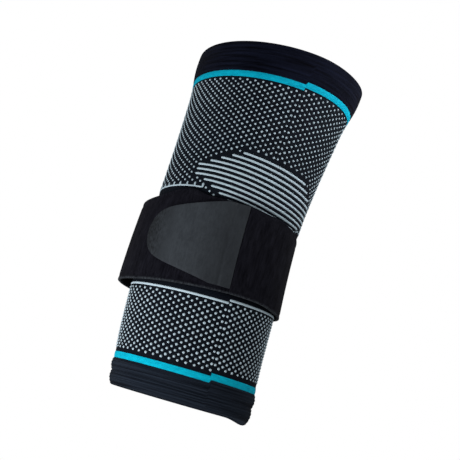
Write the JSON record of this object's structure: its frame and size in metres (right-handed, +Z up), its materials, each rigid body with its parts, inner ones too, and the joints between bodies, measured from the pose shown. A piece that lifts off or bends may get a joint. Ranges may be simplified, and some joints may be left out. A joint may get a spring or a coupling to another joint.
{
  "type": "elbow sleeve",
  "caption": "Knitted compression sleeve for the elbow, an open oval tube with ribbed cuffs, coloured stripes, a striped elbow patch and a wrap strap closed by a hook tab, in its worn form.",
  "frame": {"origin": "on the arm's axis at the middle of the elbow patch", "axes": "+Z up the forearm towards the upper arm, -Y out of the face with the strap's tab, +X to the right of that face"},
  "size_m": [0.1191, 0.108, 0.227],
  "materials": {
    "knit": "matte",
    "light_yarn": "matte",
    "cuff_knit": "matte",
    "stripe_knit": "matte",
    "strap_velour": "matte",
    "hook_tab": "satin"
  },
  "bodies": {
    "root": {"sleeve_body": "knit", "upper_stripe": "stripe_knit", "lower_stripe": "stripe_knit", "upper_cuff": "cuff_knit", "lower_cuff": "cuff_knit", "strap_band": "strap_velour", "strap_tab": "hook_tab"}
  },
  "joints": []
}
